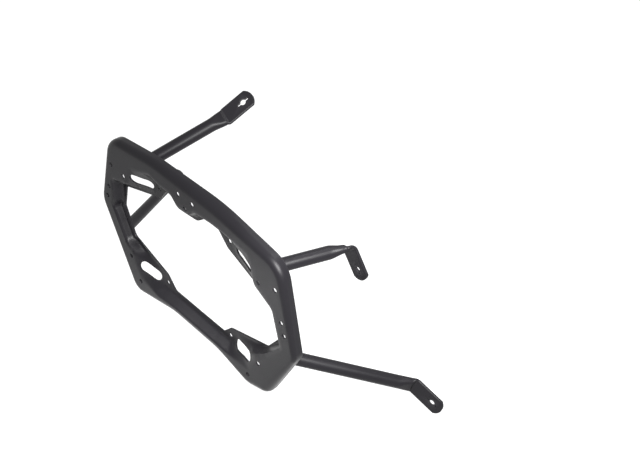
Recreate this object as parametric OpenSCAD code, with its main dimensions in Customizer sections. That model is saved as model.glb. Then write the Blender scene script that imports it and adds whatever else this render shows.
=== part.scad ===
// Left pannier frame of a touring motorcycle: one pressed sheet ring that the
// pannier hangs on, and four tube stays that carry it on the bike.
// X runs to the rear, Y inward to the bike, Z up. The origin is midway between
// the two mounting holes on the ring's long line, on its outer face.

/* [Pressed ring] */
// Length of the ring; its holes, slots and stays follow
ring_l = 383.2; // [376:0.1:391]
// Height of the ring; its holes, slots and stays follow
ring_h = 281.3; // [276:0.1:286]
// Thickness of the steel sheet
sheet_t = 2.5; // [1.5:0.1:3]
// How far the inner lip lies behind the outer face
lip_recess = 13.5; // [9:0.5:16]
// Extra depth of the pressed bead in the front rail
bead_depth = 4; // [0:0.5:6]
// Scale of the rolled outer edge's depth
roll_depth_factor = 1; // [0.85:0.05:1.2]

/* [Holes and slots] */
// Distance between the two mounting holes on the long line
mount_span = 330; // [300:1:340]
// Diameter of the small fixing holes
fixing_d = 7; // [5:0.5:8]
// Length of the pannier slots
slot_l = 38; // [30:0.5:41]
// Width of the pannier slots
slot_w = 16; // [8:0.5:16.5]

/* [Tube stays] */
// Outer diameter of the three main stays
tube_d = 18; // [14:0.5:20]
// Outer diameter of the front stay
front_tube_d = 16.5; // [12:0.5:18]
// Wall thickness of the tubes
tube_wall = 2; // [1.5:0.25:3]
// Length over which a tube is pressed oval and then flat
press_l = 24; // [16:1:34]
// Inside radius of the bend at a tab
bend_r = 4; // [3:0.5:10]
// Gap between a stay and the notch in the ring's rolled edge
notch_gap = 1.5; // [0.5:0.25:3]

/* [Tabs] */
// Diameter of the bolt hole in a tab
tab_hole_d = 8.5; // [6:0.5:10]
// Length of the narrow slot through the bolt hole
tab_slot_l = 17.5; // [12:0.5:20]
// Width of the narrow slot through the bolt hole
tab_slot_w = 3.2; // [2:0.1:4.5]
// Distance from the bolt hole's centre to the tab's end
tab_end = 16; // [13:0.5:20]

/* [Hidden] */
coat = [0.17, 0.17, 0.18];

// Size of the ring as its corners below are given, and the height they keep
drawn_size = [383.2, 281.3];
keep_z = -57;
function placed(p) = concat(
  [p[0] * ring_l / drawn_size[0], keep_z + (p[1] - keep_z) * ring_h / drawn_size[1]],
  [for (e = [2:1:len(p) - 1]) p[e]]);

// Outline of the ring's outer edge, each corner as
// [x, z, corner radius, radius of the rolled edge, depth of the rolled edge]
outer_corners = [for (c = [
  [173, 36, 38, 9, 16.5], [64, 68.5, 300, 12, 17], [-64, 84, 240, 10, 16],
  [-157, 82.5, 34, 9, 16.5], [-187.5, -28, 32, 6, 18], [-132, -166, 22, 9, 19],
  [-41, -162, 120, 14, 19], [46.5, -174.5, 90, 14, 19], [107, -199, 30, 14, 19],
  [145.5, -190, 20, 12, 18], [198.5, -94, 20, 6, 16]]) placed(c)];
// Outline of the opening, each corner as [x, z, corner radius]
opening_corners = [for (c = [
  [146.5, -41, 14], [120, -25, 20], [67, 5.5, 9], [50.5, 26, 8], [25, 28.5, 5],
  [10, 18.5, 12], [-17.5, 19, 14], [-31, 34, 12], [-51.5, 35, 7], [-64, 19.5, 6],
  [-141, 4, 6], [-150.5, -32, 4], [-134, -77, 14], [-66, -110, 12],
  [-50.5, -131, 7], [49.5, -144, 5], [65, -129, 9], [136, -116.5, 5],
  [161, -86, 4]]) placed(c)];
// Where the flat lip ends and the sheet starts to rise
lip_corners = [for (c = [
  [151.5, -37.5, 14], [120, -19.5, 20], [91, -4, 8], [85, 3, 6], [80, 12.5, 8],
  [75.5, 23, 8], [70, 31, 8], [22, 34, 7], [8.5, 24.5, 10], [-14, 25, 14],
  [-27, 40, 10], [-50, 43, 8], [-68, 43, 6], [-76, 22, 5], [-88, 17.5, 6],
  [-150, 9, 6], [-151, -22, 6], [-155, -33, 5], [-136.5, -82, 8], [-83, -106, 6],
  [-78, -110.5, 4], [-74.5, -121, 8], [-71, -132, 6], [-51, -137, 8],
  [47, -149.5, 8], [66, -152.5, 6], [71, -147.5, 6], [75, -136.7, 8],
  [80.5, -129, 5], [138, -121.5, 6], [166.5, -87, 6]]) placed(c)];
// Where the rising sheet meets the flat outer face
crown_corners = [for (c = [
  [159, -33, 14], [129, -12, 8], [128, 6, 8], [119.5, 30, 10], [84, 37, 10],
  [52, 42, 10], [20, 43, 8], [8, 33.5, 10], [-12, 35, 10], [-24, 49, 10],
  [-46, 52, 10], [-68, 61, 12], [-107, 51, 8], [-119.5, 31.5, 10],
  [-123, 21, 8], [-156, 17, 8], [-157, -20, 8], [-161, -32, 5], [-139, -81.5, 8],
  [-123, -96, 8], [-121.5, -113, 8], [-112, -133, 10], [-75, -147, 10],
  [-51, -146.5, 10], [48, -159, 10], [75, -163, 10], [112, -164, 8],
  [122.5, -142, 8], [122, -130, 8], [143, -117.5, 8], [172, -88, 8]]) placed(c)];
// Point that all four outlines run round
hub = [0, keep_z];

// Fixing holes, [x, z], apart from the two on the long line
fixing_holes = [for (h = [
  [-152.5, 40], [-127, 32], [-171, -17.5], [-64.5, 33.5], [-9, 57], [18, 53.5],
  [3.5, 40.5], [71.5, 17.5], [136.5, -4.5], [175, -45.5], [179.5, -63.5],
  [64, -143], [131.5, -141], [111, -174], [-131, -103.5], [-114.5, -141],
  [-67, -124.5]]) placed(h)];
// Pannier slots, [x, z, angle]
slots = [for (s = [[-94, 35, 1], [104.5, 10, -15], [96.5, -145, -1.5],
                   [-97, -117, -17]]) placed(s)];

// Stays: root on the ring, corner of the bend, centre of the bolt hole, and
// the direction in which the tab is wide
function path_at(path) = [for (p = path) let (q = placed([p[0], p[2]])) [q[0], p[1], q[1]]];
front_path = path_at([[-154, 3, -77], [-243, 161.5, -102.5], [-254.5, 181, -101.5]]);
front_wide = [0.80, 0.48, -0.35];
upper_front_path = path_at([[-103.5, 5, 51], [-47, 119.5, 108.5], [-37, 141, 125]]);
upper_front_wide = [-0.9, 0, 0.43];
upper_rear_path = path_at([[136.5, 3, 12.5], [186, 109.5, 17.5], [201, 111, -8.5]]);
upper_rear_wide = [0.83, -0.04, 0.56];
lower_rear_path = path_at([[145.5, 3, -113], [284.5, 138, -172], [313, 141, -185]]);
lower_rear_wide = [0.36, 0.20, 0.91];

// Longest straight step along an outline, and largest step round a corner
edge_step = 9;
arc_step = 9;
rim_over = 4;
ramp_at = [0.2, 0.4, 0.6, 0.8];
roll_at = [30, 60, 90];

function unit(v) = v / norm(v);
function mix(a, b, t) = a * (1 - t) + b * t;
function smooth(t) = t * t * (3 - 2 * t);
function slope(t) = mix(smooth(t), t, 0.6);

// Points round a closed outline of rounded corners. Each point is
// [x, z, outward x, outward z, and the corner's further values]
function round_corner(c, i) =
  let (n = len(c), a = c[(i + n - 1) % n], b = c[i], d = c[(i + 1) % n],
       ea = unit([a[0] - b[0], a[1] - b[1]]), ed = unit([d[0] - b[0], d[1] - b[1]]),
       half = acos(ea * ed) / 2, run = b[2] / tan(half),
       start = [b[0], b[1]] + ea * run,
       turn_dir = sign(ea[0] * ed[1] - ea[1] * ed[0]),
       inward = [ea[1], -ea[0]] * -turn_dir,
       centre = start + inward * b[2],
       first = atan2(start[1] - centre[1], start[0] - centre[0]),
       turn = (180 - 2 * half) * -turn_dir,
       steps = max(1, ceil(abs(turn) / arc_step)))
  [for (k = [0:steps])
    let (w = first + turn * k / steps, s = -turn_dir)
    concat([centre[0] + b[2] * cos(w), centre[1] + b[2] * sin(w), s * cos(w), s * sin(w)],
           [for (e = [3:1:len(b) - 1]) b[e]])];

function with_steps(c, step) =
  let (arcs = [for (i = [0:len(c) - 1]) round_corner(c, i)])
  [for (i = [0:len(c) - 1]) each concat(arcs[i],
    let (p = arcs[i][len(arcs[i]) - 1], q = arcs[(i + 1) % len(c)][0],
         cuts = floor(norm([q[0] - p[0], q[1] - p[1]]) / step))
    [for (k = [1:1:cuts]) mix(p, q, k / (cuts + 1))])];

function polar(c) = [for (p = with_steps(c, 25))
  [atan2(p[1] - hub[1], p[0] - hub[0]), norm([p[0], p[1]] - hub)]];
function wrap(t) = concat(t, [for (e = t) [e[0] - 360, e[1]]], [for (e = t) [e[0] + 360, e[1]]]);

opening_table = wrap(polar(opening_corners));
lip_table = wrap(polar(lip_corners));
crown_table = wrap(polar(crown_corners));
stations = with_steps(outer_corners, edge_step);

// The bead runs down the front rail, between these directions from the hub. It
// is a groove behind the outer face and a narrow ridge beside the opening
bead_from = 166;
bead_to = 191;
ridge_share = 0.75;
function bead(a) =
  let (b = a < 0 ? a + 360 : a, t = (b - bead_from) / (bead_to - bead_from))
  t <= 0 || t >= 1 ? 0 : bead_depth * smooth(min(1, 5 * t)) * smooth(min(1, 8 * (1 - t)));

// One section of the sheet's outer face, from inside the opening to the rim
function section(s) =
  let (start = [s[0] - s[2] * s[4], s[1] - s[3] * s[4]],
       a = atan2(start[1] - hub[1], start[0] - hub[0]), far = norm(start - hub),
       out = [cos(a), sin(a)], crown = min(far - 1, lookup(a, crown_table)),
       lip = min(crown - 4, lookup(a, lip_table)), edge = lookup(a, opening_table),
       depth = s[5] * roll_depth_factor, at = function (r, y) [hub[0] + out[0] * r, y,
                                                              hub[1] + out[1] * r])
  concat(
    [at(edge - rim_over, lip_recess), at(lip, lip_recess - ridge_share * bead(a))],
    [for (t = ramp_at) at(mix(lip, crown, t), lip_recess * (1 - slope(t))
      + bead(a) * 1.4 * sin(180 * pow(t, 1.3)))],
    [at(crown, 0)],
    [for (w = concat([0], roll_at)) [s[0] - s[2] * s[4] * (1 - sin(w)), s[4] * (1 - cos(w)),
                       s[1] - s[3] * s[4] * (1 - sin(w))]],
    [[s[0], depth, s[1]]]);

// Closed sheet of even thickness on a grid of points that runs round a ring
module sheet_ring(grid, t) {
  n = len(grid);
  m = len(grid[0]);
  inner = [for (i = [0:n - 1]) [for (j = [0:m - 1])
    let (along = grid[(i + 1) % n][j] - grid[(i + n - 1) % n][j],
         across = grid[i][min(j + 1, m - 1)] - grid[i][max(j - 1, 0)])
    grid[i][j] + t * unit(cross(along, across))]];
  points = [for (i = [0:n - 1]) each concat(grid[i], [for (j = [m - 1:-1:0]) inner[i][j]])];
  k = 2 * m;
  faces = [for (i = [0:n - 1], j = [0:k - 1])
    let (a = i * k + j, b = i * k + (j + 1) % k, c = ((i + 1) % n) * k + (j + 1) % k,
         d = ((i + 1) % n) * k + j)
    each [[a, c, b], [a, d, c]]];
  polyhedron(points, faces);
}

// Runs a flat drawing in X and Z through the part along Y
module along_y(from, to) {
  translate([0, to, 0]) rotate([90, 0, 0]) linear_extrude(to - from) children();
}

module slot_shape(l, w) {
  square([l - w, w], center = true);
  for (side = [-1, 1]) translate([side * (l - w) / 2, 0]) circle(d = w, $fn = 48);
}

// Turns the local Z axis along a, with local X as near to b as it can be
module frame_at(p, a, b) {
  z = unit(a);
  x = unit(b - z * (z * b));
  y = cross(z, x);
  multmatrix([[x[0], y[0], z[0], p[0]], [x[1], y[1], z[1], p[1]],
              [x[2], y[2], z[2], p[2]], [0, 0, 0, 1]]) children();
}

module ring_plate() {
  color(coat) difference() {
    sheet_ring([for (s = stations) section(s)], sheet_t);
    along_y(-5, lip_recess + 12)
      polygon([for (p = with_steps(opening_corners, 500)) [p[0], p[1]]]);
    for (s = slots)
      along_y(-5, lip_recess + 12) translate([s[0], s[1]]) rotate(s[2]) slot_shape(slot_l, slot_w);
    for (h = concat([[-mount_span / 2, 0], [mount_span / 2, 0]], fixing_holes))
      along_y(-5, lip_recess + 12) translate(h) circle(d = fixing_d, $fn = 32);
    stay_notch(front_path, front_tube_d);
  }
}

// Room in the ring's rolled edge where the front stay leaves it
module stay_notch(path, d) {
  frame_at(path[0], path[1] - path[0], [0, 0, 1])
    translate([0, 0, 2.5]) cylinder(d = d + 2 * notch_gap, h = 60, $fn = 48);
}

// Half-flat section of a pressed tube that keeps the tube's girth
function pressed(d, h, sides) =
  let (flat = PI * (d - h) / 4)
  [for (k = [0:sides - 1])
    let (w = 360 * (k + 0.5) / sides) [sign(cos(w)) * flat + h / 2 * cos(w), h / 2 * sin(w)]];

// Tube that is pressed flat and bent at its far end, with a bolt hole
module stay(path, wide, d, trim) {
  root = path[0];
  along = unit(path[1] - root);
  tab = unit(path[2] - path[1]);
  bend = acos(along * tab);
  tab_t = 2 * tube_wall + 0.6;
  mean_r = bend_r + tab_t / 2;
  back = mean_r * tan(bend / 2);
  side = unit(tab - along * (along * tab));
  bend_start = path[1] - along * back;
  round_end = norm(bend_start - root) - press_l;
  tab_w = tab_t + PI * (d - tab_t) / 2;
  // The tube is first pressed oval, and drops to the tab just before the bend
  oval = 0.6 * d;
  drop_l = 4;
  press_steps = 5;
  bend_steps = max(2, ceil(bend / 15));
  sides = 20;
  // Each ring is [centre, direction, height of the section]
  rings = concat(
    [[root + along * (round_end - 2), along, d - 0.8]],
    [for (k = [1:press_steps])
      let (t = k / press_steps)
      [root + along * (round_end + (press_l - drop_l) * t), along, mix(d, oval, smooth(t))]],
    [for (t = [0.33, 0.67, 1])
      [bend_start - along * drop_l * (1 - t), along, mix(oval, tab_t, smooth(t))]],
    [for (k = [1:bend_steps])
      let (w = bend * k / bend_steps)
      [bend_start + along * mean_r * sin(w) + side * mean_r * (1 - cos(w)),
       along * cos(w) + side * sin(w), tab_t]],
    [[path[2] + tab * (tab_end + 2), tab, tab_t]]);
  points = [for (r = rings)
    let (x = unit(wide - r[1] * (r[1] * wide)), y = cross(r[1], x))
    each [for (p = pressed(d, r[2], sides)) r[0] + x * p[0] + y * p[1]]];
  last = len(rings) - 1;
  color(coat) difference() {
    union() {
      frame_at(root, along, wide) translate([0, 0, -12]) cylinder(d = d, h = 12 + round_end, $fn = 48);
      polyhedron(points, concat(
        [[for (k = [0:sides - 1]) k]],
        [for (i = [0:last - 1], k = [0:sides - 1])
          let (a = i * sides + k, b = i * sides + (k + 1) % sides)
          each [[a, a + sides, b], [b, a + sides, b + sides]]],
        [[for (k = [sides - 1:-1:0]) last * sides + k]]));
    }
    frame_at(root, along, wide) translate([0, 0, -14])
      cylinder(d = d - 2 * tube_wall, h = 14 + round_end - 3, $fn = 48);
    // Root cut square to the tube, and flush with the sheet
    frame_at(root, along, wide) translate([0, 0, trim - 40]) cube([80, 80, 80], center = true);
    translate([root[0] - 40, sheet_t - 40, root[2] - 40]) cube([80, 40, 80]);
    // Tab's end, an arc round the bolt hole
    frame_at(path[2], cross(wide, tab), tab) difference() {
      translate([0, -tab_w, -10]) cube([tab_w + 10, 2 * tab_w, 20]);
      translate([0, 0, -11]) cylinder(r = tab_end, h = 22, $fn = 96);
    }
    frame_at(path[2], cross(wide, tab), tab) {
      translate([0, 0, -10]) cylinder(d = tab_hole_d, h = 20, $fn = 48);
      cube([tab_slot_l, tab_slot_w, 20], center = true);
    }
  }
}

module front_stay() { stay(front_path, front_wide, front_tube_d, 1); }
module upper_front_stay() { stay(upper_front_path, upper_front_wide, tube_d, 3.2); }
module upper_rear_stay() { stay(upper_rear_path, upper_rear_wide, tube_d, 2); }
module lower_rear_stay() { stay(lower_rear_path, lower_rear_wide, tube_d, 9.5); }

ring_plate();
front_stay();
upper_front_stay();
upper_rear_stay();
lower_rear_stay();
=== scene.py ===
import bpy, bmesh
from math import acos, atan2, ceil, cos, degrees, pi, radians, sin, tan
from mathutils import Matrix, Vector
from mathutils.bvhtree import BVHTree


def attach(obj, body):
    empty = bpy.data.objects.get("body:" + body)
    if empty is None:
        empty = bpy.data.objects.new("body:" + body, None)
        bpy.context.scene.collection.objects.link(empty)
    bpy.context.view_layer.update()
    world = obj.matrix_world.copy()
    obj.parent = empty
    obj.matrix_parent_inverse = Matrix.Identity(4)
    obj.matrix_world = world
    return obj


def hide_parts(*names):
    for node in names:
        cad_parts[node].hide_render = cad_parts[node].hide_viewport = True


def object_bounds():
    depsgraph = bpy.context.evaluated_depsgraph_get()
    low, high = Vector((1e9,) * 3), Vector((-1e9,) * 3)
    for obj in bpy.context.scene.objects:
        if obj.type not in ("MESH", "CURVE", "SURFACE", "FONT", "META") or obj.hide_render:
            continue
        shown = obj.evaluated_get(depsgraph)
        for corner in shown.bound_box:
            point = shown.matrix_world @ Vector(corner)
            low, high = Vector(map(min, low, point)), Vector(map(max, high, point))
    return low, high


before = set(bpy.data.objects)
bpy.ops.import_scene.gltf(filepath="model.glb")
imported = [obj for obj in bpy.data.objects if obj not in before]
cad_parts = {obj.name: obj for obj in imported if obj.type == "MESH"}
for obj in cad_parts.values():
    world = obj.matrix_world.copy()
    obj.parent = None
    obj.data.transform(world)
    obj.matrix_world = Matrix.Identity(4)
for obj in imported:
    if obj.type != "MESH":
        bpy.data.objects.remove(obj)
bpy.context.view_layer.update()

# Pressed ring: one blank of 2.5 mm steel sheet. The press rolls its outer edge
# inward, drops the edge round the opening to a recessed lip and beads the front
# rail. Holes and slots are punched after it, and satin black powder coats it all.
MM = 0.001
SHEET, RECESS, BEAD, EASE, BURR = 2.5, 13.5, 4.0, 1.6, 0.4

# The face's sections run out from HUB. Corners are X, Z and radius in millimetres,
# and those of OUTER go on with the rolled edge's radius and the flange's depth
HUB = Vector((0, -57))
OUTER = [
    (173, 36, 38, 9, 16.5), (64, 68.5, 300, 12, 17), (-64, 84, 240, 10, 16),
    (-157, 82.5, 34, 9, 16.5), (-187.5, -28, 32, 6, 18), (-132, -166, 22, 9, 19),
    (-41, -162, 120, 14, 19), (46.5, -174.5, 90, 14, 19), (107, -199, 30, 14, 19),
    (145.5, -190, 20, 12, 18), (198.5, -94, 20, 6, 16)]
OPENING = [
    (146.5, -41, 14), (120, -25, 20), (67, 5.5, 9), (50.5, 26, 8), (25, 28.5, 5),
    (10, 18.5, 12), (-17.5, 19, 14), (-31, 34, 12), (-51.5, 35, 7), (-64, 19.5, 6),
    (-141, 4, 6), (-150.5, -32, 4), (-134, -77, 14), (-66, -110, 12),
    (-50.5, -131, 7), (49.5, -144, 5), (65, -129, 9), (136, -116.5, 5), (161, -86, 4)]
LIP = [
    (151.5, -37.5, 14), (120, -19.5, 20), (91, -4, 8), (85, 3, 6), (80, 12.5, 8),
    (75.5, 23, 8), (70, 31, 8), (22, 34, 7), (8.5, 24.5, 10), (-14, 25, 14),
    (-27, 40, 10), (-50, 43, 8), (-68, 43, 6), (-76, 22, 5), (-88, 17.5, 6),
    (-150, 9, 6), (-151, -22, 6), (-155, -33, 5), (-136.5, -82, 8), (-83, -106, 6),
    (-78, -110.5, 4), (-74.5, -121, 8), (-71, -132, 6), (-51, -137, 8),
    (47, -149.5, 8), (66, -152.5, 6), (71, -147.5, 6), (75, -136.7, 8),
    (80.5, -129, 5), (138, -121.5, 6), (166.5, -87, 6)]
CROWN = [
    (159, -33, 14), (129, -12, 8), (128, 6, 8), (119.5, 30, 10), (84, 37, 10),
    (52, 42, 10), (20, 43, 8), (8, 33.5, 10), (-12, 35, 10), (-24, 49, 10),
    (-46, 52, 10), (-68, 61, 12), (-107, 51, 8), (-119.5, 31.5, 10),
    (-123, 21, 8), (-156, 17, 8), (-157, -20, 8), (-161, -32, 5), (-139, -81.5, 8),
    (-123, -96, 8), (-121.5, -113, 8), (-112, -133, 10), (-75, -147, 10),
    (-51, -146.5, 10), (48, -159, 10), (75, -163, 10), (112, -164, 8),
    (122.5, -142, 8), (122, -130, 8), (143, -117.5, 8), (172, -88, 8)]
HOLES = [
    (-165, 0), (165, 0), (-152.5, 40), (-127, 32), (-171, -17.5), (-64.5, 33.5),
    (-9, 57), (18, 53.5), (3.5, 40.5), (71.5, 17.5), (136.5, -4.5), (175, -45.5),
    (179.5, -63.5), (64, -143), (131.5, -141), (111, -174), (-131, -103.5),
    (-114.5, -141), (-67, -124.5)]
SLOTS = [(-94, 35, 1), (104.5, 10, -15), (96.5, -145, -1.5), (-97, -117, -17)]
SLOT_LENGTH, SLOT_WIDTH, HOLE = 38.0, 16.0, 7.0

# The front rail's bead: where it starts and how far it runs round the hub in
# degrees, how quickly it comes and goes, the shares of BEAD that the lip is
# lifted and the groove sunk, and how far outward on the ramp the groove lies
BEAD_FROM, BEAD_SPAN, COMES, GOES, LIP_LIFT, GROOVE, GROOVE_OUT = 166, 25, 5, 8, 0.75, 1.4, 1.3
# The ramp is part straight and part S-shaped, and has a least width, as have
# the lip inside it and the flat of the face outside it
STRAIGHT, LEAST_RAMP, LEAST_LIP, LEAST_FACE = 0.6, 4, 1.2, 2
# Rows across the lip, ramp, face and rolled edge, the finer rows that they are
# eased over and how far past the crown those go
LIP_ROWS, RAMP_ROWS, FACE_ROWS, ROLL_ROWS, FINE, PAST_CROWN = 5, 14, 6, 12, 0.4, 8
# Longest steps along an outline: millimetres, and degrees round a corner
STEP, ARC = 2.0, 3


def outline(corners, step, arc):
    """Points round a closed outline of rounded corners: place, outward direction, other values."""
    arcs = []
    for i, corner in enumerate(corners):
        before, here, after = (Vector(corners[k % len(corners)][:2]) for k in (i - 1, i, i + 1))
        to_before, to_after = (before - here).normalized(), (after - here).normalized()
        half = acos(to_before.dot(to_after)) / 2
        side = 1 if to_before.x * to_after.y - to_before.y * to_after.x > 0 else -1
        start = here + to_before * corner[2] / tan(half)
        centre = start + Vector((to_before.y, -to_before.x)) * -side * corner[2]
        first = atan2(start.y - centre.y, start.x - centre.x)
        turn = (pi - 2 * half) * -side
        count = max(1, ceil(abs(turn) / radians(arc)), ceil(abs(turn) * corner[2] / step))
        angles = [first + turn * k / count for k in range(count + 1)]
        ways = [Vector((cos(angle), sin(angle))) for angle in angles]
        values = Vector(corner[3:] or (0, 0))
        arcs.append([(centre + corner[2] * way, -side * way, values) for way in ways])
    points = []
    for i, part in enumerate(arcs):
        points += part
        last, following = part[-1], arcs[(i + 1) % len(arcs)][0]
        cuts = int((following[0] - last[0]).length / step)
        for k in range(1, cuts + 1):
            points.append(tuple(a.lerp(b, k / (cuts + 1)) for a, b in zip(last, following)))
    return points


def reach(corners):
    """How far an outline lies from the hub in each direction, as a function of the angle."""
    rays = [place - HUB for place, _, _ in outline(corners, STEP, 2 * ARC)]
    table = sorted((atan2(ray.y, ray.x), ray.length) for ray in rays)
    table = [(table[-1][0] - 2 * pi, table[-1][1])] + table + [(table[0][0] + 2 * pi, table[0][1])]

    def at(angle):
        for (a, r), (b, q) in zip(table, table[1:]):
            if a <= angle <= b:
                return r if b == a else r + (q - r) * (angle - a) / (b - a)
    return at


def smooth(t):
    """0 to 1 along an S-shaped curve."""
    t = min(1, max(0, t))
    return t * t * (3 - 2 * t)


def dish(r, edge, lip, crown, bead):
    """Depth of the pressed face at one distance from the hub, before its creases are eased."""
    if r <= lip:
        return RECESS - LIP_LIFT * bead * smooth((r - edge) / (lip - edge))
    t = min(1, (r - lip) / (crown - lip))
    share = GROOVE * sin(pi * t ** GROOVE_OUT) - LIP_LIFT * max(0, 1 - 5 * t)
    return RECESS * (1 - (1 - STRAIGHT) * smooth(t) - STRAIGHT * t) + bead * share


def between(values, k):
    """The value at a place k, part way between two of a list, and 0 past its end."""
    low = min(int(k), len(values) - 2)
    return values[low] + (values[low + 1] - values[low]) * (k - low) if k < len(values) - 1 else 0


to_opening, to_lip, to_crown = reach(OPENING), reach(LIP), reach(CROWN)
ring_rows = []
for point, out, (roll, depth) in outline(OUTER, STEP, ARC):
    start = point - out * roll
    angle, far = atan2(start.y - HUB.y, start.x - HUB.x), (start - HUB).length
    ray = Vector((cos(angle), sin(angle)))
    edge_at, crown = to_opening(angle), min(far - LEAST_FACE, to_crown(angle))
    lip = max(min(crown - LEAST_RAMP, to_lip(angle)), edge_at + LEAST_LIP)
    turn = (degrees(angle) % 360 - BEAD_FROM) / BEAD_SPAN
    bead = BEAD * smooth(COMES * turn) * smooth(GOES * (1 - turn)) if 0 < turn < 1 else 0
    spots = [edge_at + BURR + (lip - edge_at - BURR) * k / LIP_ROWS for k in range(LIP_ROWS)]
    spots += [lip + (crown - lip) * k / RAMP_ROWS for k in range(RAMP_ROWS + 1)]
    spots += [crown + (far - crown) * k / FACE_ROWS for k in range(1, FACE_ROWS)]

    # The face's creases are eased, and its back lies a sheet's thickness behind it
    first, wide, look = edge_at - SHEET - EASE, round(EASE / FINE), ceil(SHEET / FINE) + 1
    fine = [first + FINE * k for k in range(ceil((crown + PAST_CROWN - first) / FINE))]
    raw = [dish(r, edge_at, lip, crown, bead) for r in fine]
    windows = [raw[max(0, k - wide):k + wide + 1] for k in range(len(raw))]
    eased = [sum(window) / len(window) for window in windows]
    face, back = [], []
    for r in spots:
        k = (r - first) / FINE
        nearby = range(max(0, int(k) - look), min(len(fine), int(k) + look + 1))
        near = [(FINE * (j - k), eased[j]) for j in nearby]
        behind = [y + (SHEET ** 2 - d ** 2) ** 0.5 for d, y in near if abs(d) < SHEET]
        face.append((HUB + ray * r, between(eased, k)))
        back.append((HUB + ray * r, max([SHEET] + behind)))

    # The edge is rolled inward to a flange with a burred end, and goes back inside
    bends = [pi / 2 * k / ROLL_ROWS for k in range(ROLL_ROWS + 1)]
    middle, hollow = (roll + depth) / 2, roll - SHEET
    rim = [(point - out * roll * (1 - sin(w)), roll * (1 - cos(w))) for w in bends]
    rim += [(point, middle), (point, depth - BURR)]
    rim += [(point - out * BURR, depth), (point - out * (SHEET - BURR), depth)]
    rim += [(point - out * SHEET, depth - BURR), (point - out * SHEET, middle)]
    rim += [(point - out * (roll - hollow * sin(w)), roll - hollow * cos(w)) for w in reversed(bends)]
    cut_edge = [(HUB + ray * edge_at, RECESS + SHEET - BURR), (HUB + ray * edge_at, RECESS + BURR)]
    row = face + rim + back[::-1] + cut_edge
    ring_rows.append([Vector((p.x, y, p.y)) * MM for p, y in row])


def swept(sections):
    """A mesh through loops that have the same number of points, and the edges of its two ends."""
    bm = bmesh.new()
    number = bm.verts.layers.int.new("number")
    loop = bmesh.ops.create_circle(bm, cap_ends=False, segments=len(sections[0]), radius=1.0)["verts"]
    for i, vert in enumerate(loop):
        vert[number] = i
    first_edges = bm.edges[:]
    edges = first_edges
    for k, section in enumerate(sections):
        if k:
            grown = bmesh.ops.extrude_edge_only(bm, edges=edges)["geom"]
            loop = {g for g in grown if isinstance(g, bmesh.types.BMVert)}
            edges = [g for g in grown if isinstance(g, bmesh.types.BMEdge) and set(g.verts) <= loop]
        for vert in loop:
            vert.co = section[vert[number]]
    return bm, first_edges + edges


shell, ends = swept(list(zip(*ring_rows)))
bmesh.ops.bridge_loops(shell, edges=ends)
bmesh.ops.recalc_face_normals(shell, faces=shell.faces)


def mesh_object(name, bm, angle=40):
    """A finished bmesh as an object, smooth but for its sharp edges."""
    mesh = bpy.data.meshes.new(name)
    bm.to_mesh(mesh)
    bm.free()
    mesh.shade_smooth()
    mesh.set_sharp_from_angle(angle=radians(angle))
    made = bpy.data.objects.new(name, mesh)
    bpy.context.scene.collection.objects.link(made)
    return made


def punch(piece, cutter, angle=40):
    """Cuts the cutter's shape out of a piece, and throws the cutter away."""
    cut = piece.modifiers.new("punch", "BOOLEAN")
    cut.operation, cut.solver, cut.object = "DIFFERENCE", "EXACT", cutter
    graph = bpy.context.evaluated_depsgraph_get()
    mesh = bpy.data.meshes.new_from_object(piece.evaluated_get(graph))
    piece.modifiers.clear()
    piece.data = mesh
    mesh.shade_smooth()
    mesh.set_sharp_from_angle(angle=radians(angle))
    bpy.data.objects.remove(cutter)


def turned_to(place, along, near):
    """Local Z along one direction, local X as near as can be to another."""
    z = along.normalized()
    x = (near - z * near.dot(z)).normalized()
    return Matrix.Translation(place) @ Matrix((x, z.cross(x), z)).transposed().to_4x4()


FRONT_PATH = [Vector(p) for p in ((-154, 3, -77), (-243, 161.5, -102.5), (-254.5, 181, -101.5))]
FRONT_TUBE, NOTCH_GAP = 16.5, 1.5
THROUGH = 60.0
ring = mesh_object("ring_sheet", shell)
punches = bmesh.new()
upright = Matrix.Rotation(pi / 2, 4, "X")
for x, z in HOLES:
    bmesh.ops.create_cone(punches, cap_ends=True, segments=40, radius1=HOLE / 2 * MM,
                          radius2=HOLE / 2 * MM, depth=THROUGH * MM,
                          matrix=Matrix.Translation(Vector((x, 0, z)) * MM) @ upright)
for x, z, angle in SLOTS:
    made = bmesh.ops.create_circle(punches, cap_ends=True, segments=48, radius=SLOT_WIDTH / 2 * MM)["verts"]
    for vert in made:
        vert.co.x += (SLOT_LENGTH - SLOT_WIDTH) / 2 * MM * (1 if vert.co.x > 0 else -1)
    body = bmesh.ops.extrude_face_region(punches, geom=[made[0].link_faces[0]])["geom"]
    grown = [g for g in body if isinstance(g, bmesh.types.BMVert)]
    bmesh.ops.translate(punches, verts=grown, vec=(0, 0, THROUGH * MM))
    placed = Matrix.Translation(Vector((x, THROUGH / 2, z)) * MM) @ upright
    bmesh.ops.transform(punches, verts=made + grown,
                        matrix=placed @ Matrix.Rotation(radians(angle), 4, "Z"))

# The notch lets the front stay through the flange. It starts behind the face
along = (FRONT_PATH[1] - FRONT_PATH[0]).normalized()
NOTCH_FROM, NOTCH_R = 2.5, FRONT_TUBE / 2 + NOTCH_GAP
middle = FRONT_PATH[0] + along * (NOTCH_FROM + THROUGH / 2)
bmesh.ops.create_cone(punches, cap_ends=True, segments=48, radius1=NOTCH_R * MM, radius2=NOTCH_R * MM,
                      depth=THROUGH * MM, matrix=turned_to(middle * MM, along, Vector((0, 0, 1))))
bmesh.ops.recalc_face_normals(punches, faces=punches.faces)
punch(ring, mesh_object("punches", punches), 32)

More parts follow.
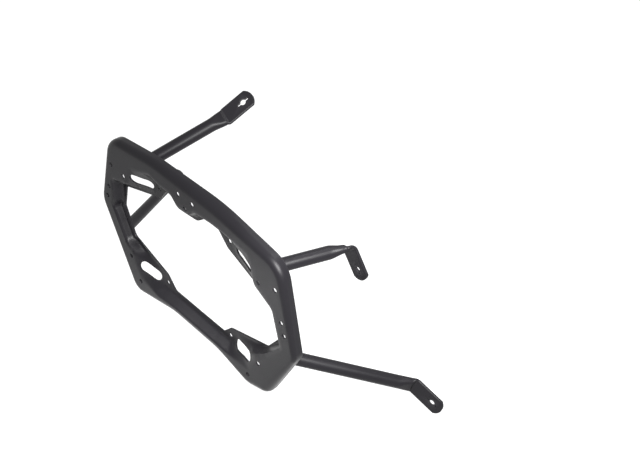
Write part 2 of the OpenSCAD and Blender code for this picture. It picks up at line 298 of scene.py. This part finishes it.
# The coat has a fine orange peel, cloudy gloss, and is thinner on edges
peel = bpy.data.node_groups.new("powder_coat_peel", "ShaderNodeTree")
for name, kind, way, value in [
    ("Peel Size", "NodeSocketFloat", "INPUT", 900.0), ("Peel Depth", "NodeSocketFloat", "INPUT", 0.35),
    ("Rough Low", "NodeSocketFloat", "INPUT", 0.38), ("Rough High", "NodeSocketFloat", "INPUT", 0.5),
    ("Coat", "NodeSocketColor", "INPUT", (0.0075, 0.0070, 0.0085, 1)),
    ("Thin Coat", "NodeSocketColor", "INPUT", (0.02, 0.019, 0.022, 1)),
    ("Color", "NodeSocketColor", "OUTPUT", None), ("Roughness", "NodeSocketFloat", "OUTPUT", None),
    ("Normal", "NodeSocketVector", "OUTPUT", None)]:
    socket = peel.interface.new_socket(name, in_out=way, socket_type=kind)
    if value is not None:
        socket.default_value = value
n, link = peel.nodes, peel.links.new
ins, outs = n.new("NodeGroupInput"), n.new("NodeGroupOutput")
place = n.new("ShaderNodeTexCoord")
grain = n.new("ShaderNodeTexNoise")
grain.inputs["Detail"].default_value = 3.0
grain.inputs["Roughness"].default_value = 0.6
link(place.outputs["Object"], grain.inputs["Vector"])
link(ins.outputs["Peel Size"], grain.inputs["Scale"])
bump = n.new("ShaderNodeBump")
bump.inputs["Distance"].default_value = 0.0002
link(ins.outputs["Peel Depth"], bump.inputs["Strength"])
link(grain.outputs["Fac"], bump.inputs["Height"])
link(bump.outputs["Normal"], outs.inputs["Normal"])
cloud = n.new("ShaderNodeTexNoise")
cloud.inputs["Scale"].default_value = 14.0
cloud.inputs["Detail"].default_value = 4.0
link(place.outputs["Object"], cloud.inputs["Vector"])
rough = n.new("ShaderNodeMapRange")
rough.inputs["From Min"].default_value = 0.35
rough.inputs["From Max"].default_value = 0.65
link(cloud.outputs["Fac"], rough.inputs["Value"])
link(ins.outputs["Rough Low"], rough.inputs["To Min"])
link(ins.outputs["Rough High"], rough.inputs["To Max"])
link(rough.outputs["Result"], outs.inputs["Roughness"])
bend = n.new("ShaderNodeNewGeometry")
edge = n.new("ShaderNodeMapRange")
edge.inputs["From Min"].default_value = 0.53
edge.inputs["From Max"].default_value = 0.65
link(bend.outputs["Pointiness"], edge.inputs["Value"])
tone = n.new("ShaderNodeMix")
tone.data_type = "RGBA"
link(edge.outputs["Result"], tone.inputs["Factor"])
link(ins.outputs["Coat"], tone.inputs["A"])
link(ins.outputs["Thin Coat"], tone.inputs["B"])
patch = n.new("ShaderNodeMapRange")
patch.inputs["To Min"].default_value = 0.9
patch.inputs["To Max"].default_value = 1.1
link(cloud.outputs["Fac"], patch.inputs["Value"])
shade = n.new("ShaderNodeVectorMath")
shade.operation = "SCALE"
link(tone.outputs["Result"], shade.inputs["Vector"])
link(patch.outputs["Result"], shade.inputs["Scale"])
link(shade.outputs["Vector"], outs.inputs["Color"])


def powder_coat(name, size, depth, low, high):
    """The coat with its own grain size, grain depth and range of roughness."""
    material = bpy.data.materials.new(name)
    material.use_nodes = True
    tree = material.node_tree
    shader = tree.nodes["Principled BSDF"]
    shader.inputs["Specular IOR Level"].default_value = 0.13
    group = tree.nodes.new("ShaderNodeGroup")
    group.node_tree = peel
    group.inputs["Peel Size"].default_value = size
    group.inputs["Peel Depth"].default_value = depth
    group.inputs["Rough Low"].default_value = low
    group.inputs["Rough High"].default_value = high
    tree.links.new(group.outputs["Color"], shader.inputs["Base Color"])
    tree.links.new(group.outputs["Roughness"], shader.inputs["Roughness"])
    tree.links.new(group.outputs["Normal"], shader.inputs["Normal"])
    return material


ring.data.materials.clear()
ring.data.materials.append(powder_coat("ring_coat", 1100.0, 0.25, 0.3, 0.4))
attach(ring, "root")
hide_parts("ring_plate")

# Stays: drawn steel tube, each pressed flat and folded at its far end to a tab
# with a bolt hole and a narrow slot, then coated with the ring. Their near
# ends are open and welded to the ring's inner face.
MAIN_TUBE, WALL, PRESS, DROP, FOLD_R, OVAL = 18.0, 2.0, 24.0, 4.0, 4.0, 0.6
TAB_HOLE, TAB_SLOT_L, TAB_SLOT_W, SLOT_ROUND, TAB_END, TAB_CUT = 8.5, 17.5, 3.2, 0.45, 16.0, 20.0
TAB = 2 * WALL + 0.6
LEAD, BORE_STOP, SIDES, PRESS_ROWS, FOLD_ROWS = 12, 3, 64, 16, 12

# Each stay's root on the ring, its fold and its bolt hole, then the way its
# tab's width runs, its tube and how far its near end is cut back
STAYS = [
    ("front", FRONT_PATH, (0.80, 0.48, -0.35), FRONT_TUBE, 1),
    ("upper_front", ((-103.5, 5, 51), (-47, 119.5, 108.5), (-37, 141, 125)),
     (-0.9, 0, 0.43), MAIN_TUBE, 3.2),
    ("upper_rear", ((136.5, 3, 12.5), (186, 109.5, 17.5), (201, 111, -8.5)),
     (0.83, -0.04, 0.56), MAIN_TUBE, 2),
    ("lower_rear", ((145.5, 3, -113), (284.5, 138, -172), (313, 141, -185)),
     (0.36, 0.20, 0.91), MAIN_TUBE, 9.5)]
stay_coat = powder_coat("stay_coat", 1300.0, 0.3, 0.34, 0.46)


def section(place, way, wide, tube, high, share=1):
    """Points round a tube pressed to a height, as a loop square to its way."""
    x = (wide - way * way.dot(wide)).normalized()
    y = way.cross(x)
    flat = pi * (tube - high) / 4
    points = []
    for i in range(SIDES):
        w = 2 * pi * (i + 0.5) / SIDES
        across = (flat if cos(w) > 0 else -flat) + high / 2 * cos(w)
        points.append((place + x * across * share + y * high / 2 * sin(w)) * MM)
    return points


def stay(name, path, wide, tube, trim):
    """One stay, from its open near end to its tab."""
    root, corner, hole = (Vector(p) for p in path)
    wide = Vector(wide)
    along, tab = (corner - root).normalized(), (hole - corner).normalized()
    bend = along.angle(tab)
    radius = FOLD_R + TAB / 2
    side = (tab - along * along.dot(tab)).normalized()
    fold = corner - along * radius * tan(bend / 2)
    straight = (fold - root).length - PRESS
    oval = OVAL * tube

    # Round tube, pressed to an oval, then flat, folded, and rounded at the end
    rings = [(root - along * LEAD, along, tube, 1), (root + along * straight * 0.5, along, tube, 1)]
    for t in (k / PRESS_ROWS for k in range(PRESS_ROWS + 1)):
        place = root + along * (straight + (PRESS - DROP) * t)
        rings.append((place, along, tube + (oval - tube) * smooth(t), 1))
    for t in (0.25, 0.5, 0.75):
        rings.append((fold - along * DROP * (1 - t), along, oval + (TAB - oval) * smooth(t), 1))
    for w in (bend * k / FOLD_ROWS for k in range(FOLD_ROWS + 1)):
        place = fold + along * radius * sin(w) + side * radius * (1 - cos(w))
        rings.append((place, along * cos(w) + side * sin(w), TAB, 1))
    half = (TAB + pi * (tube - TAB) / 2) / 2
    meet = (TAB_END ** 2 - half ** 2) ** 0.5
    rings.append((hole + tab * meet * 0.5, tab, TAB, 1))
    for w in (atan2(half, meet) * (1 - k / FOLD_ROWS) for k in range(FOLD_ROWS + 1)):
        share = max(0.02, TAB_END * sin(w) / half)
        rings.append((hole + tab * TAB_END * cos(w), tab, TAB, share))
    body, ends = swept([section(place, way, wide, tube, high, share) for place, way, high, share in rings])
    bmesh.ops.holes_fill(body, edges=ends, sides=0)
    bmesh.ops.recalc_face_normals(body, faces=body.faces)

    # The near end is cut back, and to the inner face of the ring's sheet
    cuts = [((root + along * trim) * MM, along), (Vector((0, SHEET * MM, 0)), Vector((0, 1, 0)))]
    for place, way in cuts:
        geom = body.verts[:] + body.edges[:] + body.faces[:]
        cut = bmesh.ops.bisect_plane(body, geom=geom, plane_co=place, plane_no=way, clear_inner=True)
        rim = [g for g in cut["geom_cut"] if isinstance(g, bmesh.types.BMEdge)]
        bmesh.ops.holes_fill(body, edges=rim, sides=0)
    piece = mesh_object(name + "_stay_tube", body)

    # The bolt hole and the tube's bore are punched first, then the tab's slot
    holes = bmesh.new()
    across = turned_to(hole * MM, wide.cross(tab), tab)
    bmesh.ops.create_cone(holes, cap_ends=True, segments=48, radius1=TAB_HOLE / 2 * MM,
                          radius2=TAB_HOLE / 2 * MM, depth=TAB_CUT * MM, matrix=across)
    bore_from, bore_to, bore_r = -LEAD - 2, straight - BORE_STOP, (tube / 2 - WALL) * MM
    middle = root + along * (bore_from + bore_to) / 2
    bmesh.ops.create_cone(holes, cap_ends=True, segments=48, radius1=bore_r, radius2=bore_r,
                          depth=(bore_to - bore_from) * MM, matrix=turned_to(middle * MM, along, wide))
    punch(piece, mesh_object("bolt_punch", holes))
    holes = bmesh.new()
    slot_size = (TAB_SLOT_L * MM, TAB_SLOT_W * MM, TAB_CUT * MM, 1)
    bmesh.ops.create_cube(holes, size=1, matrix=across @ Matrix.Diagonal(slot_size))
    uprights = [e for e in holes.edges if abs(e.calc_length() - TAB_CUT * MM) < 0.1 * MM]
    bmesh.ops.bevel(holes, geom=uprights, offset=TAB_SLOT_W * SLOT_ROUND * MM, offset_type="OFFSET",
                    segments=5, profile=0.5, affect="EDGES", material=-1)
    punch(piece, mesh_object("slot_punch", holes))
    piece.data.materials.clear()
    piece.data.materials.append(stay_coat)
    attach(piece, "root")
    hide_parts(name + "_stay")


for name, path, wide, tube, trim in STAYS:
    stay(name, path, wide, tube, trim)

# Welds: each stay's near end is welded to the inner face of the sheet with a
# hand-run bead, whose ripples show through the coat. Where the tube overhangs
# the opening or a slot, the bead stops.
BEAD_R, RIPPLE, RIPPLE_STEPS, TRIES, BEAD_SIDES = 2.1, 0.1, 5, 120, 10
OFF_TUBE, OFF_SHEET, LOOK_FROM, LOOK, LEAST_DEPTH = 0.3, 0.5, 40, 70, 1.5
weld_coat = powder_coat("weld_coat", 1500.0, 0.5, 0.4, 0.5)
sheet = BVHTree.FromObject(ring, bpy.context.evaluated_depsgraph_get())


def weld(name, path, wide, tube):
    """The bead round one stay's near end, whole or as far as the sheet goes."""
    root, corner, _ = (Vector(p) for p in path)
    wide = Vector(wide)
    along = (corner - root).normalized()
    x = (wide - along * along.dot(wide)).normalized()
    y = along.cross(x)

    # Rays down the tube's side find the sheet, where the bead lies
    spots = []
    for k in range(TRIES):
        w = 2 * pi * k / TRIES
        side = x * cos(w) + y * sin(w)
        above = root + side * (tube / 2 + OFF_TUBE) + along * LOOK_FROM
        place, _, _, _ = sheet.ray_cast(above * MM, -along, LOOK * MM)
        spots.append((place / MM, side) if place and place.y / MM > LEAST_DEPTH else None)
    start = spots.index(None) if None in spots else 0
    run = [spots[(start + k) % TRIES] for k in range(1, TRIES + 1)]
    while run[0] is None:
        run.pop(0)
    run = run[:run.index(None)] if None in run else run
    closed = len(run) == TRIES
    loops = []
    for k, (place, side) in enumerate(run):
        end = 1 if closed else min(1, (min(k, len(run) - 1 - k) + 1) / RIPPLE_STEPS)
        size = BEAD_R * end * (1 + RIPPLE * sin(2 * pi * k / RIPPLE_STEPS))
        middle = place + along * OFF_SHEET + side * OFF_TUBE
        turns = [2 * pi * i / BEAD_SIDES for i in range(BEAD_SIDES)]
        loops.append([(middle + along * size * cos(w) + side * size * sin(w)) * MM for w in turns])
    body, ends = swept(loops)
    if closed:
        bmesh.ops.bridge_loops(body, edges=ends)
    else:
        bmesh.ops.holes_fill(body, edges=ends, sides=0)
    bmesh.ops.recalc_face_normals(body, faces=body.faces)
    bead = mesh_object(name + "_weld", body, 60)
    bead.data.materials.append(weld_coat)
    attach(bead, "root")


for name, path, wide, tube, _ in STAYS:
    weld(name, path, wide, tube)

# Studio: a white floor under the lowest tab, a white surround, a soft lamp near
# the ring's upper rear corner, a weak one behind, and a spot on the floor in
# front of the ring. The camera stands where the photograph was taken from.
floor_mesh = bmesh.new()
bmesh.ops.create_circle(floor_mesh, cap_ends=True, segments=64, radius=6.0,
                        matrix=Matrix.Translation((0, 0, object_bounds()[0][2])))
floor = mesh_object("floor", floor_mesh)


def seen_or_mirrored(tree):
    """A factor that is 1 for what the camera sees, by itself or in a gloss."""
    path = tree.nodes.new("ShaderNodeLightPath")
    either = tree.nodes.new("ShaderNodeMath")
    either.operation = "MAXIMUM"
    tree.links.new(path.outputs["Is Camera Ray"], either.inputs[0])
    tree.links.new(path.outputs["Is Glossy Ray"], either.inputs[1])
    return either.outputs["Value"]


floor_coat = bpy.data.materials.new("floor_coat")
floor_coat.use_nodes = True
tree = floor_coat.node_tree
shader, end = tree.nodes["Principled BSDF"], tree.nodes["Material Output"]
shader.inputs["Base Color"].default_value = (0.2, 0.2, 0.2, 1)
shader.inputs["Roughness"].default_value = 0.9
glow = tree.nodes.new("ShaderNodeEmission")
glow.inputs["Strength"].default_value = 0.95
both = tree.nodes.new("ShaderNodeAddShader")
tree.links.new(shader.outputs["BSDF"], both.inputs[0])
tree.links.new(glow.outputs["Emission"], both.inputs[1])
pick = tree.nodes.new("ShaderNodeMixShader")
tree.links.new(seen_or_mirrored(tree), pick.inputs["Fac"])
tree.links.new(shader.outputs["BSDF"], pick.inputs[1])
tree.links.new(both.outputs["Shader"], pick.inputs[2])
tree.links.new(pick.outputs["Shader"], end.inputs["Surface"])
floor.data.materials.append(floor_coat)

world = bpy.data.worlds.new("studio")
bpy.context.scene.world = world
world.use_nodes = True
tree = world.node_tree
dim, end = tree.nodes["Background"], tree.nodes["World Output"]
dim.inputs["Color"].default_value = (1, 1, 1, 1)
dim.inputs["Strength"].default_value = 0.3
white = tree.nodes.new("ShaderNodeBackground")
white.inputs["Color"].default_value = (1, 1, 1, 1)
white.inputs["Strength"].default_value = 1.0
pick = tree.nodes.new("ShaderNodeMixShader")
tree.links.new(seen_or_mirrored(tree), pick.inputs["Fac"])
tree.links.new(dim.outputs["Background"], pick.inputs[1])
tree.links.new(white.outputs["Background"], pick.inputs[2])
tree.links.new(pick.outputs["Shader"], end.inputs["Surface"])


def lamp(name, kind, place, aim, size, power):
    """A lamp that the camera doesn't see. An area lamp's size is metres, a spot's an angle."""
    light = bpy.data.lights.new(name, kind)
    light.energy = power
    if kind == "AREA":
        light.shape, light.size = "DISK", size
    else:
        light.spot_size, light.spot_blend, light.shadow_soft_size = size, 1.0, 0.1
    holder = bpy.data.objects.new(name, light)
    holder.location = place
    holder.visible_camera = False
    holder.rotation_euler = (Vector(aim) - Vector(place)).to_track_quat("-Z", "Y").to_euler()
    bpy.context.scene.collection.objects.link(holder)


lamp("corner_key", "AREA", (0.462, -0.145, 0.34), (0.165, 0, 0.03), 0.3, 13)
lamp("soft_back", "AREA", (0.2, 0.5, 0.9), (0.1, 0, 0), 0.4, 5)
lamp("floor_spot", "SPOT", (-0.03, -0.65, 0.9), (-0.04, -0.19, -0.2), radians(20), 500)

camera = bpy.data.objects.new("camera", bpy.data.cameras.new("camera"))
right = Vector((0.728386, 0.684927, 0.018114))
up = Vector((-0.40141, 0.405156, 0.821412))
back = Vector((0.555269, -0.605577, 0.570047))
stand = Matrix.Translation((0.756753, -0.567922, 0.663306))
camera.matrix_world = stand @ Matrix((right, up, back)).transposed().to_4x4()
camera.data.sensor_width = 36.0
PHOTO_WIDTH, FOCAL_PIXELS = 640, 884.8
camera.data.lens = FOCAL_PIXELS * camera.data.sensor_width / PHOTO_WIDTH
bpy.context.scene.collection.objects.link(camera)
bpy.context.scene.camera = camera
bpy.context.scene.view_settings.view_transform = "Standard"
